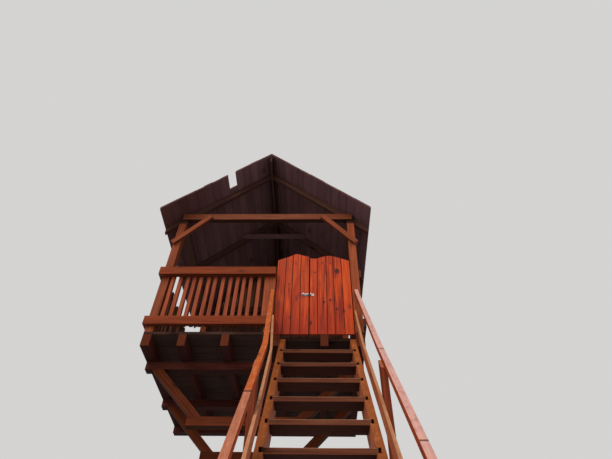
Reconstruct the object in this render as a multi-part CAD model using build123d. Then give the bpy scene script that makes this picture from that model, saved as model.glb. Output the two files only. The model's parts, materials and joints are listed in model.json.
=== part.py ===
from build123d import *
import math
import os

# Tree house: an open cabin on a braced platform, with a pair of gates and a steep stair
# Millimetres. +X runs to the right as one climbs the stair, +Y towards the back, +Z up
# The origin is on the back face of the front support beam, half way along it

# Platform
platform_width = 2310.0
platform_depth = 2030.0
deck_thickness = 30.0
joist_height = 140.0
joist_width = 80.0
side_joist_width = 90.0
joist_outer_offset = 738.0
joist_inner_offset = 290.0

# Bearers across the joists, and the braced frames that carry them
bearer_size = 90.0
bearer_end_inset = 4.0
bearer_front_set = 300.0
bearer_middle_set = 1090.0
bearer_rear_set = 1750.0
support_drop = 510.0
support_beam_length = 1200.0
knee_size = 90.0
knee_top_offset = 1016.0
knee_foot_offset = 526.0

# Posts
post_size = 90.0
post_height = 1735.0
gate_post_offset = 140.0
gate_post_height = 870.0

# Plates and tie beams on the posts
plate_height = 85.0
plate_end_set = 25.0
tie_beam_height = 110.0
tie_beam_depth = 60.0
tie_beam_end_set = 20.0

# Corner braces, nailed over the faces of post and tie beam
corner_brace_width = 66.0
corner_brace_thickness = 38.0
corner_brace_run = 413.0
corner_brace_top_z = 1850.0
corner_brace_foot_z = 1345.0
corner_brace_foot_cover = 3.0

# Roof
roof_pitch = 43.0
eave_overhang = 206.0
roof_thickness = 30.0
gable_overhang = 260.0
rafter_depth = 90.0
rafter_width = 45.0
rafter_end_set = 20.0
rafter_seat_bite = 26.0
ridge_board_width = 25.0
ridge_board_height = 140.0
ridge_board_end_set = 15.0
collar_height = 70.0
collar_thickness = 40.0
collar_level = 2540.0
collar_end_cover = 8.0
roof_board_count = 14
notch_first_board = 5
notch_board_count = 1
notch_depth = 240.0

# Railings
rail_top_low = 775.0
rail_top_high = 887.0
rail_bottom_low = 72.0
rail_bottom_high = 175.0
front_top_rail_depth = 60.0
front_bottom_rail_depth = 45.0
front_bottom_rail_end_set = 35.0
side_rail_thickness = 30.0
baluster_size = 40.0
baluster_head_cover = 17.0
baluster_foot_cover = 17.0
front_baluster_count = 14
front_baluster_start_gap = 37.0
front_baluster_end_gap = 5.0
baluster_gap_target = 43.0

# Boarded rear wall
rear_wall_thickness = 22.0
rear_wall_head_gap = 4.0

# Stair
riser_count = 16
riser = 282.0
going = 213.0
sill_set = 105.0
stair_side_set = 90.0
stringer_thickness = 55.0
stringer_depth = 200.0
stringer_head_run = 120.0
tread_thickness = 44.0
tread_depth = 140.0
tread_housing = 12.0
notch_into_stringer = 30.0
notch_headroom = 4.0

# Handrails and mid rails of the stair
handrail_thickness = 40.0
handrail_depth = 36.0
handrail_rise_head = 725.0
handrail_rise_joint = 732.0
handrail_rise_foot = 900.0
handrail_joint_run = 1150.0
handrail_head_set = 20.0
handrail_lap = 18.0
mid_rail_thickness = 20.0
mid_rail_depth = 85.0
mid_rail_left_rise = 362.0
mid_rail_right_rise = 425.0
mid_rail_left_head_set = 1.0
mid_rail_right_head_set = 14.0
mid_rail_bend_run = 650.0
mid_rail_left_bend_set = 5.0
mid_rail_right_bend_set = 15.0
rail_foot_run = 3300.0
stair_post_thickness = 38.0
stair_post_width = 90.0
stair_post_runs = (1330.0, 2270.0, 3210.0)
stair_post_tail = 250.0

# Gates
gate_side_gap = 6.0
gate_middle_gap = 12.0
left_leaf_width = 380.0
gate_floor_gap = 8.0
gate_board_thickness = 22.0
left_side_height = 1098.0
left_crown_height = 1206.0
left_crest = ((299.0, 1137.0), (226.0, 1171.0), (163.0, left_crown_height), (77.0, 1184.0))
left_inner_height = 1166.0
right_inner_height = 1140.0
right_crest = ((59.0, 1126.0), (134.0, 1152.0), (237.0, 1175.0), (343.0, 1147.0))
right_side_height = 1091.0
ledge_thickness = 20.0
ledge_height = 90.0
ledge_low = 140.0
ledge_high = 740.0
ledge_end_set = 25.0
brace_width = 80.0

# Gate hinges
knuckle_radius = 8.0
pin_radius = 4.0
pin_clearance = 0.3
knuckle_length = 28.0
knuckle_gap = 0.5
strap_height = 32.0
strap_thickness = 4.0
strap_length = 190.0
hinge_plate_width = 60.0
hinge_plate_height = 90.0

# Slide bolt of the gates
bolt_height = 545.0
bolt_rod_radius = 5.0
bolt_clearance = 0.4
bolt_travel = 38.0
bolt_plate_length = 70.0
bolt_plate_height = 34.0
bolt_plate_thickness = 3.0
bolt_guide_width = 10.0
bolt_guide_wall = 4.0
bolt_edge_set = 4.0
bolt_knob_radius = 4.0
bolt_knob_length = 22.0
keeper_set = 4.0
keeper_length = 45.0
keeper_play = 2.0

# Places worked out from the sizes above
half_width = platform_width / 2
front_y = -(bearer_front_set + bearer_size)
back_y = front_y + platform_depth
deck_top = bearer_size / 2 + support_drop + bearer_size + joist_height + deck_thickness
joist_top = deck_top - deck_thickness
joist_bottom = joist_top - joist_height
ground_z = deck_top - riser_count * riser
post_top = deck_top + post_height
plate_top = post_top + plate_height
roof_slope = math.tan(math.radians(roof_pitch))
roof_cos = math.cos(math.radians(roof_pitch))
roof_half_width = half_width + eave_overhang
roof_build_up = (roof_thickness + rafter_depth) / roof_cos
ridge_z = plate_top - rafter_seat_bite + roof_build_up + half_width * roof_slope
roof_board_run = roof_half_width / roof_board_count
post_face_x = half_width - post_size
gate_post_left = gate_post_offset - post_size / 2
gate_post_right = gate_post_offset + post_size / 2
stair_right = half_width - side_joist_width
stair_left = gate_post_right + stair_side_set
sill_y = front_y + sill_set
steepness = riser / going


def block(x0, x1, y0, y1, z0, z1):
    return Pos((x0 + x1) / 2, (y0 + y1) / 2, (z0 + z1) / 2) * Box(x1 - x0, y1 - y0, z1 - z0)


def profile_xz(points, y0, y1):
    face = make_face(Polyline(*[(x, y0, z) for x, z in points], close=True))
    return extrude(face, amount=y1 - y0, dir=(0, 1, 0))


def profile_yz(points, x0, x1):
    face = make_face(Polyline(*[(x0, y, z) for y, z in points], close=True))
    return extrude(face, amount=x1 - x0, dir=(1, 0, 0))


def mirrored(piece):
    return mirror(piece, about=Plane.YZ)


def group(pieces):
    return Compound([piece.solid() for piece in pieces])


def roof_z(x, below=0.0):
    # Height of the roof's top surface at x, or of a plane that lies below it
    return ridge_z - abs(x) * roof_slope - below / roof_cos


# Platform pieces

def deck_floor():
    floor = block(-half_width, half_width, front_y, back_y, joist_top, deck_top)
    return floor - block(gate_post_right, post_face_x, front_y, sill_y, joist_top, deck_top)


def floor_joists():
    side = half_width - side_joist_width / 2
    beside_stair = stair_left - joist_width / 2
    places = [
        (-side, side_joist_width),
        (-joist_outer_offset, joist_width),
        (-joist_inner_offset, joist_width),
        (beside_stair, joist_width),
        (joist_outer_offset, joist_width),
        (side, side_joist_width),
    ]
    return group([
        block(x - width / 2, x + width / 2, front_y, back_y, joist_bottom, joist_top)
        for x, width in places
    ])


def bearer_at(set_back):
    y0 = front_y + set_back
    end = half_width - bearer_end_inset
    return block(-end, end, y0, y0 + bearer_size, joist_bottom - bearer_size, joist_bottom)


def bearers():
    return group([bearer_at(s) for s in (bearer_front_set, bearer_middle_set, bearer_rear_set)])


def support_beam_at(set_back):
    y0 = front_y + set_back
    half = support_beam_length / 2
    return block(-half, half, y0, y0 + bearer_size, -bearer_size / 2, bearer_size / 2)


def support_beams():
    return group([support_beam_at(bearer_front_set), support_beam_at(bearer_middle_set)])


def knee_braces(set_back):
    y0 = front_y + set_back
    top = joist_bottom - bearer_size
    foot = bearer_size / 2
    run = knee_top_offset - knee_foot_offset
    half_cut = knee_size / 2 / math.sin(math.atan2(top - foot, run))
    right = profile_xz(
        [
            (knee_top_offset - half_cut, top),
            (knee_top_offset + half_cut, top),
            (knee_foot_offset + half_cut, foot),
            (knee_foot_offset - half_cut, foot),
        ],
        y0,
        y0 + knee_size,
    )
    return group([mirrored(right), right])


# Posts, plates and beams

def post_at(x_left, y_front, top=post_top):
    return block(x_left, x_left + post_size, y_front, y_front + post_size, deck_top, top)


def side_plates():
    y0 = front_y + plate_end_set
    y1 = back_y - plate_end_set
    right = block(post_face_x, half_width, y0, y1, post_top, plate_top)
    return group([mirrored(right), right])


def tie_beam(y0):
    half = half_width - tie_beam_end_set
    return block(-half, half, y0, y0 + tie_beam_depth, plate_top, plate_top + tie_beam_height)


def corner_braces(y0):
    foot_x = half_width + corner_brace_foot_cover
    top_x = foot_x - corner_brace_run
    drop = corner_brace_top_z - corner_brace_foot_z
    length = math.hypot(corner_brace_run, drop)
    nx = drop / length * corner_brace_width / 2
    nz = corner_brace_run / length * corner_brace_width / 2
    top_z = deck_top + corner_brace_top_z
    foot_z = deck_top + corner_brace_foot_z
    right = profile_xz(
        [
            (top_x + nx, top_z + nz),
            (foot_x + nx, foot_z + nz),
            (foot_x - nx, foot_z - nz),
            (top_x - nx, top_z - nz),
        ],
        y0,
        y0 + corner_brace_thickness,
    )
    return group([mirrored(right), right])


# Roof pieces

def rafter_rows():
    front = front_y + tie_beam_depth
    rear = back_y - tie_beam_depth - rafter_width
    return [front, (front + rear) / 2, rear]


def rafter_at(y0):
    inner = ridge_board_width / 2
    outer = roof_half_width - rafter_end_set
    top = roof_thickness
    bottom = roof_thickness + rafter_depth
    rafter = profile_xz(
        [
            (inner, roof_z(inner, top)),
            (outer, roof_z(outer, top)),
            (outer, roof_z(outer, bottom)),
            (inner, roof_z(inner, bottom)),
        ],
        y0,
        y0 + rafter_width,
    )
    # The seat that is cut over the plate
    seat = block(post_face_x, half_width, y0, y0 + rafter_width, post_top, plate_top)
    return rafter - seat


def rafters():
    right = [rafter_at(y0) for y0 in rafter_rows()]
    return group([mirrored(rafter) for rafter in right] + right)


def ridge_board():
    half = ridge_board_width / 2
    top = roof_z(half, roof_thickness)
    return block(
        -half,
        half,
        front_y - gable_overhang + ridge_board_end_set,
        back_y + gable_overhang - ridge_board_end_set,
        top - ridge_board_height,
        top,
    )


def collar_tie():
    low = deck_top + collar_level - collar_height / 2
    high = low + collar_height
    y1 = rafter_rows()[1]
    cover = roof_thickness + collar_end_cover
    half_low = (ridge_z - cover / roof_cos - low) / roof_slope
    half_high = (ridge_z - cover / roof_cos - high) / roof_slope
    return profile_xz(
        [(-half_low, low), (half_low, low), (half_high, high), (-half_high, high)],
        y1 - collar_thickness,
        y1,
    )


def roof_side():
    edge = roof_half_width
    return profile_xz(
        [
            (0.0, roof_z(0.0)),
            (edge, roof_z(edge)),
            (edge, roof_z(edge, roof_thickness)),
            (0.0, roof_z(0.0, roof_thickness)),
        ],
        front_y - gable_overhang,
        back_y + gable_overhang,
    )


def roof_left():
    # One of its boards is cut short at the front
    front = front_y - gable_overhang
    notch_right = -notch_first_board * roof_board_run
    notch_left = notch_right - notch_board_count * roof_board_run
    low = roof_z(notch_left, roof_thickness)
    high = roof_z(notch_right)
    notch = block(notch_left, notch_right, front, front + notch_depth, low, high)
    return mirrored(roof_side()) - notch


# Railings

def even_places(start, end, count):
    gap = (end - start - count * baluster_size) / (count + 1)
    return [start + gap + i * (baluster_size + gap) + baluster_size / 2 for i in range(count)]


def fitting_count(length):
    return round((length - baluster_gap_target) / (baluster_size + baluster_gap_target))


def front_rails():
    x0 = -half_width - side_rail_thickness
    x1 = gate_post_right
    top = block(x0, x1, front_y - front_top_rail_depth, front_y,
                deck_top + rail_top_low, deck_top + rail_top_high)
    bottom = block(x0, x1 - front_bottom_rail_end_set, front_y - front_bottom_rail_depth, front_y,
                   deck_top + rail_bottom_low, deck_top + rail_bottom_high)
    return group([top, bottom])


def front_balusters():
    first = -post_face_x + front_baluster_start_gap + baluster_size / 2
    last = gate_post_left - front_baluster_end_gap - baluster_size / 2
    pitch = (last - first) / (front_baluster_count - 1)
    half = baluster_size / 2
    foot = deck_top + rail_bottom_low + baluster_foot_cover
    head = deck_top + rail_top_high - baluster_head_cover
    return group([
        block(first + i * pitch - half, first + i * pitch + half,
              front_y, front_y + baluster_size, foot, head)
        for i in range(front_baluster_count)
    ])


def side_railing():
    # Right-hand railing: two rails nailed outside the posts, with balusters behind them
    half = baluster_size / 2
    foot = deck_top + rail_bottom_low + baluster_foot_cover
    head = deck_top + rail_top_high - baluster_head_cover
    x0 = half_width
    x1 = half_width + side_rail_thickness
    y0 = front_y
    y1 = back_y
    panel = block(x0, x1, y0, y1, deck_top + rail_top_low, deck_top + rail_top_high)
    panel += block(x0, x1, y0, y1, deck_top + rail_bottom_low, deck_top + rail_bottom_high)
    start = front_y + post_size
    end = back_y - post_size
    for y in even_places(start, end, fitting_count(end - start)):
        panel += block(x0 - baluster_size, x0, y - half, y + half, foot, head)
    return panel


def rear_wall():
    # Boards on the back faces of the rear posts, cut to the roof and round the ridge board
    y1 = back_y + rear_wall_thickness
    below = roof_thickness + rear_wall_head_gap
    wall = profile_xz(
        [
            (-half_width, joist_top),
            (half_width, joist_top),
            (half_width, roof_z(half_width, below)),
            (0.0, roof_z(0.0, below)),
            (-half_width, roof_z(half_width, below)),
        ],
        back_y,
        y1,
    )
    half = ridge_board_width / 2 + rear_wall_head_gap
    low = roof_z(ridge_board_width / 2, roof_thickness) - ridge_board_height - rear_wall_head_gap
    return wall - block(-half, half, back_y, y1, low, ridge_z)


# Stair

def nosing_z(y):
    return deck_top - (sill_y - y) * steepness


def stringer_outline():
    back_shift = stringer_depth / math.sin(math.atan(steepness))
    head_y = sill_y + stringer_head_run
    return [
        (sill_y - (deck_top - ground_z) / steepness, ground_z),
        (sill_y - deck_thickness / steepness, joist_top),
        (head_y, joist_top),
        (head_y, nosing_z(head_y - back_shift)),
        (sill_y - (deck_top - ground_z) / steepness + back_shift, ground_z),
    ]


def tread_places():
    return [(sill_y - n * going, deck_top - n * riser) for n in range(1, riser_count)]


def stringer(x0, inner_x, notch_x):
    board = profile_yz(stringer_outline(), x0, x0 + stringer_thickness)
    low_x = min(inner_x, notch_x)
    high_x = max(inner_x, notch_x)
    for y, z in tread_places():
        board -= block(low_x, high_x, y - tread_depth, y + tread_depth,
                       z - tread_thickness, z + notch_headroom)
    return board


def stringer_left():
    inner = stair_left + stringer_thickness
    return stringer(stair_left, inner, inner - notch_into_stringer)


def stringer_right():
    inner = stair_right - stringer_thickness
    return stringer(inner, inner, inner + notch_into_stringer)


def treads():
    x0 = stair_left + stringer_thickness - tread_housing
    x1 = stair_right - stringer_thickness + tread_housing
    return group([
        block(x0, x1, y, y + tread_depth, z - tread_thickness, z)
        for y, z in tread_places()
    ])


# Handrails, mid rails and posts of the stair

def raked_board(stations, thickness, depth):
    # A board on edge along the stair, cut plumb at its ends: stations are (x, y, top z)
    plumb = depth / math.cos(math.atan(steepness))
    half = thickness / 2
    sections = []
    for x, y, z in stations:
        sections.append(make_face(Polyline(
            (x - half, y, z - plumb),
            (x + half, y, z - plumb),
            (x + half, y, z),
            (x - half, y, z),
            close=True,
        )))
    return loft(sections, ruled=True)


def handrail_top(y):
    joint_y = front_y - handrail_joint_run
    foot_y = front_y - rail_foot_run
    if y >= joint_y:
        share = (front_y - y) / handrail_joint_run
        return nosing_z(y) + handrail_rise_head + share * (handrail_rise_joint - handrail_rise_head)
    share = (joint_y - y) / (joint_y - foot_y)
    return nosing_z(y) + handrail_rise_joint + share * (handrail_rise_foot - handrail_rise_joint)


def handrail(head_x, x):
    ys = [front_y, front_y - handrail_joint_run, front_y - rail_foot_run]
    xs = [head_x, x, x]
    stations = [(xs[i], ys[i], handrail_top(ys[i])) for i in range(3)]
    return raked_board(stations, handrail_thickness, handrail_depth)


def handrail_left():
    head_x = gate_post_offset + handrail_head_set
    return handrail(head_x, stair_left + handrail_thickness / 2 - handrail_lap)


def handrail_right():
    x = stair_right + stair_post_thickness + handrail_thickness / 2 - handrail_lap
    return handrail(x, x)


def mid_rail(head_x, bend_x, x, rise):
    # Sprung sideways between the platform and the first post, straight below it
    straight_run = stair_post_runs[0] - stair_post_width
    ys = [front_y - run for run in (0.0, mid_rail_bend_run, straight_run, rail_foot_run)]
    xs = [head_x, bend_x, x, x]
    stations = [(xs[i], ys[i], nosing_z(ys[i]) + rise) for i in range(4)]
    return raked_board(stations, mid_rail_thickness, mid_rail_depth)


def mid_rails():
    half = mid_rail_thickness / 2
    left = mid_rail(gate_post_right + mid_rail_left_head_set, stair_left - mid_rail_left_bend_set,
                    stair_left + half, mid_rail_left_rise)
    right = mid_rail(post_face_x + mid_rail_right_head_set, stair_right - mid_rail_right_bend_set,
                     stair_right - half, mid_rail_right_rise)
    return group([left, right])


def stair_post(run, x0):
    plumb = handrail_depth / math.cos(math.atan(steepness))
    y0 = front_y - run - stair_post_width / 2
    y1 = y0 + stair_post_width
    foot = max(nosing_z(y0) - stair_post_tail, ground_z)
    return profile_yz(
        [(y0, foot), (y1, foot), (y1, handrail_top(y1) - plumb), (y0, handrail_top(y0) - plumb)],
        x0,
        x0 + stair_post_thickness,
    )


def stair_posts():
    posts = []
    for run in stair_post_runs:
        posts.append(stair_post(run, stair_left - stair_post_thickness))
        posts.append(stair_post(run, stair_right))
    return group(posts)


# Gates: each leaf is a boarded face with two ledges and a brace behind it

gate_back_y = front_y + post_size
ledge_front_y = gate_back_y - ledge_thickness
gate_front_y = ledge_front_y - gate_board_thickness
gate_floor_z = deck_top + gate_floor_gap
left_leaf_x0 = gate_post_right + gate_side_gap
left_leaf_x1 = left_leaf_x0 + left_leaf_width
right_leaf_x0 = left_leaf_x1 + gate_middle_gap
right_leaf_x1 = post_face_x - gate_side_gap


def leaf_face(x0, x1, z0, z1, crest):
    # The boarded face: plumb sides, a level foot and a crest that waves between z0 and z1
    y = gate_front_y
    outline = [
        Line((x0, y, gate_floor_z), (x1, y, gate_floor_z)),
        Line((x1, y, gate_floor_z), (x1, y, z1)),
        Spline((x1, y, z1), *[(x, y, z) for x, z in crest], (x0, y, z0)),
        Line((x0, y, z0), (x0, y, gate_floor_z)),
    ]
    return extrude(make_face(outline), amount=gate_board_thickness, dir=(0, 1, 0))


def gate_left_boards():
    crest = [(left_leaf_x1 - set_in, deck_top + height) for set_in, height in reversed(left_crest)]
    return leaf_face(left_leaf_x0, left_leaf_x1, deck_top + left_side_height,
                     deck_top + left_inner_height, crest)


def gate_right_boards():
    crest = [(right_leaf_x0 + set_in, deck_top + height) for set_in, height in reversed(right_crest)]
    return leaf_face(right_leaf_x0, right_leaf_x1, deck_top + right_inner_height,
                     deck_top + right_side_height, crest)


def leaf_ledges(hinge_x, free_x):
    # The brace rises from the hinge side of the low ledge to the free side of the high one
    inward = 1.0 if free_x > hinge_x else -1.0
    low_x = min(hinge_x, free_x)
    high_x = max(hinge_x, free_x)
    z_low = deck_top + ledge_low
    z_high = deck_top + ledge_high
    y0 = ledge_front_y
    y1 = gate_back_y
    frame = block(low_x, high_x, y0, y1, z_low, z_low + ledge_height)
    frame += block(low_x, high_x, y0, y1, z_high, z_high + ledge_height)
    foot = hinge_x + inward * ledge_end_set
    head = free_x - inward * ledge_end_set
    frame += profile_xz(
        [
            (foot, z_low + ledge_height),
            (foot + inward * brace_width, z_low + ledge_height),
            (head, z_high),
            (head - inward * brace_width, z_high),
        ],
        y0,
        y1,
    )
    return frame


def hinge_levels():
    return [deck_top + ledge_low + ledge_height / 2, deck_top + ledge_high + ledge_height / 2]


def knuckle(x, z0, z1, radius):
    y = gate_back_y + knuckle_radius
    return Pos(x, y, (z0 + z1) / 2) * Cylinder(radius, z1 - z0)


def leaf_straps(axis_x, inward):
    # One strap for each ledge, with the middle knuckle of its hinge
    straps = []
    bore = pin_radius + pin_clearance
    half = knuckle_length / 2
    for z in hinge_levels():
        near_x = axis_x
        far_x = axis_x + inward * strap_length
        strap = block(min(near_x, far_x), max(near_x, far_x), gate_back_y,
                      gate_back_y + strap_thickness, z - half, z + half)
        strap += knuckle(axis_x, z - half, z + half, knuckle_radius)
        strap -= knuckle(axis_x, z - strap_height, z + strap_height, bore)
        straps.append(strap)
    return group(straps)


def hinge_plate(axis_x, outward, z):
    # The plate on the post, its two outer knuckles and the pin through them
    half = hinge_plate_height / 2
    inner = knuckle_length / 2 + knuckle_gap
    far_x = axis_x + outward * hinge_plate_width
    low_x = min(axis_x, far_x)
    high_x = max(axis_x, far_x)
    plate = block(low_x, high_x, gate_back_y, gate_back_y + strap_thickness, z - half, z + half)
    plate += knuckle(axis_x, z - half, z + half, knuckle_radius)
    wipe = knuckle_radius + pin_clearance
    y = gate_back_y + knuckle_radius
    plate -= block(axis_x - wipe, axis_x + wipe, gate_back_y, y + wipe, z - inner, z + inner)
    plate += knuckle(axis_x, z - half, z + half, pin_radius)
    return plate


left_hinge_x = gate_post_right + gate_side_gap / 2
right_hinge_x = post_face_x - gate_side_gap / 2


def gate_hinge_plates():
    plates = []
    for z in hinge_levels():
        plates.append(hinge_plate(left_hinge_x, -1.0, z))
        plates.append(hinge_plate(right_hinge_x, 1.0, z))
    return group(plates)


# Slide bolt: the plate and rod are on the left leaf, the keeper on the right one

bolt_y = gate_front_y - bolt_plate_thickness - bolt_guide_wall - bolt_rod_radius
bolt_z = deck_top + bolt_height
bolt_plate_x1 = left_leaf_x1 - bolt_edge_set
bolt_plate_x0 = bolt_plate_x1 - bolt_plate_length


def guide_loop(x0, x1):
    # A block round the rod, bored a little larger than it
    reach = bolt_rod_radius + bolt_guide_wall
    loop = block(x0, x1, bolt_y - reach, gate_front_y - bolt_plate_thickness,
                 bolt_z - reach, bolt_z + reach)
    bore = Cylinder(bolt_rod_radius + bolt_clearance, 2 * (x1 - x0), rotation=(0, 90, 0))
    return loop - Pos((x0 + x1) / 2, bolt_y, bolt_z) * bore


def bolt_plate():
    half = bolt_plate_height / 2
    plate = block(bolt_plate_x0, bolt_plate_x1, gate_front_y - bolt_plate_thickness,
                  gate_front_y, bolt_z - half, bolt_z + half)
    plate += guide_loop(bolt_plate_x0, bolt_plate_x0 + bolt_guide_width)
    plate += guide_loop(bolt_plate_x1 - bolt_guide_width, bolt_plate_x1)
    return plate


def bolt_rod():
    x0 = bolt_plate_x0 - bolt_edge_set
    x1 = bolt_plate_x1
    rod = Pos((x0 + x1) / 2, bolt_y, bolt_z) * Cylinder(bolt_rod_radius, x1 - x0, rotation=(0, 90, 0))
    knob_x = bolt_plate_x0 + bolt_guide_width + bolt_knob_radius + bolt_edge_set / 2
    knob = Cylinder(bolt_knob_radius, bolt_knob_length, rotation=(90, 0, 0))
    return rod + Pos(knob_x, bolt_y - bolt_knob_length / 2, bolt_z) * knob


def bolt_keeper():
    half = bolt_plate_height / 2
    x0 = right_leaf_x0 + keeper_set
    x1 = x0 + keeper_length
    reach = bolt_rod_radius + bolt_guide_wall + keeper_play
    plate = block(x0, x1, gate_front_y - bolt_plate_thickness, gate_front_y,
                  bolt_z - half, bolt_z + half)
    # A staple with a square eye, wider than the rod
    staple = block(x0, x0 + bolt_guide_width, bolt_y - reach, gate_front_y - bolt_plate_thickness,
                   bolt_z - reach, bolt_z + reach)
    eye = bolt_rod_radius + keeper_play
    staple -= block(x0, x0 + bolt_guide_width, bolt_y - eye, gate_front_y - bolt_plate_thickness,
                    bolt_z - eye, bolt_z + eye)
    return plate + staple


def build():
    rear_post_y = back_y - post_size
    return {
        "deck_floor": deck_floor(),
        "floor_joists": floor_joists(),
        "bearers": bearers(),
        "support_beams": support_beams(),
        "knee_braces_front": knee_braces(bearer_front_set),
        "knee_braces_middle": knee_braces(bearer_middle_set),
        "post_front_left": post_at(-half_width, front_y),
        "post_front_right": post_at(post_face_x, front_y),
        "post_rear_left": post_at(-half_width, rear_post_y),
        "post_rear_right": post_at(post_face_x, rear_post_y),
        "gate_post": post_at(gate_post_left, front_y, deck_top + gate_post_height),
        "side_plates": side_plates(),
        "tie_beam_front": tie_beam(front_y),
        "tie_beam_rear": tie_beam(back_y - tie_beam_depth),
        "corner_braces": corner_braces(front_y - corner_brace_thickness),
        "rafters": rafters(),
        "ridge_board": ridge_board(),
        "collar_tie": collar_tie(),
        "roof_left": roof_left(),
        "roof_right": roof_side(),
        "front_rails": front_rails(),
        "front_balusters": front_balusters(),
        "left_railing": mirrored(side_railing()),
        "right_railing": side_railing(),
        "rear_wall": rear_wall(),
        "stringer_left": stringer_left(),
        "stringer_right": stringer_right(),
        "treads": treads(),
        "stair_posts": stair_posts(),
        "handrail_left": handrail_left(),
        "handrail_right": handrail_right(),
        "mid_rails": mid_rails(),
        "gate_hinge_plates": gate_hinge_plates(),
        "gate_left_boards": gate_left_boards(),
        "gate_left_ledges": leaf_ledges(left_leaf_x0, left_leaf_x1),
        "gate_left_straps": leaf_straps(left_hinge_x, 1.0),
        "gate_right_boards": gate_right_boards(),
        "gate_right_ledges": leaf_ledges(right_leaf_x1, right_leaf_x0),
        "gate_right_straps": leaf_straps(right_hinge_x, -1.0),
        "bolt_plate": bolt_plate(),
        "bolt_rod": bolt_rod(),
        "bolt_keeper": bolt_keeper(),
    }


os.makedirs("parts", exist_ok=True)
for name, shape in build().items():
    export_step(shape, f"parts/{name}.step")
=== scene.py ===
import json
import math
import random

import bmesh
import bpy
import numpy as np
from mathutils import Matrix, Vector


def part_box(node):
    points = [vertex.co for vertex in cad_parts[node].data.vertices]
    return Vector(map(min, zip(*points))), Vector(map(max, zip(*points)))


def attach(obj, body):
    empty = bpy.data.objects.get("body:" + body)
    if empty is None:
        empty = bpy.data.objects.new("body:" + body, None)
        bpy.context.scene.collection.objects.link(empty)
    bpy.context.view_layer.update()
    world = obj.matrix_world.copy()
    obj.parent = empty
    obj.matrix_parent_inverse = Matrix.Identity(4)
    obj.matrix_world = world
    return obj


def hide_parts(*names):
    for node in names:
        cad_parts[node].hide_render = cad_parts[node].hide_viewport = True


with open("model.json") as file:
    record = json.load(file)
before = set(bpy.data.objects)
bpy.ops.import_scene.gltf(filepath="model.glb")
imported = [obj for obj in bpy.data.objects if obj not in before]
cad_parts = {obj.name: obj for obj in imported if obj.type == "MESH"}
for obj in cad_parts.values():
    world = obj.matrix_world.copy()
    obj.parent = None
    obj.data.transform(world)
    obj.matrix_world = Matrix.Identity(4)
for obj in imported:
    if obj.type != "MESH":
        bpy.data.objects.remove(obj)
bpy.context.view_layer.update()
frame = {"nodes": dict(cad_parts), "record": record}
nodes = frame["nodes"]
record = frame["record"]
bodyOf = {node: body for body, members in record["behaviour"]["bodies"].items() for node in members}
bpy.context.scene.view_settings.view_transform = "Standard"  # keeps the deep reds of the stain
print("frame loaded", len(nodes), "nodes")


# Colours, and one way to add a node with its settings and links: sockets go by name or number, and
# a node that is given as a value stands for its first output
def hexColour(code):
    values = [int(code[i:i + 2], 16) / 255 for i in (1, 3, 5)]
    linear = [v / 12.92 if v <= 0.04045 else ((v + 0.055) / 1.055) ** 2.4 for v in values]
    return (*linear, 1.0)


def addNode(tree, kind, inputs=None, **settings):
    node = tree.nodes.new(kind)
    for key, value in settings.items():
        setattr(node, key, value)
    for key, value in (inputs or {}).items():
        if isinstance(value, bpy.types.Node):
            value = value.outputs[0]
        if isinstance(value, bpy.types.NodeSocket):
            tree.links.new(value, node.inputs[key])
        else:
            node.inputs[key].default_value = value
    return node


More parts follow.
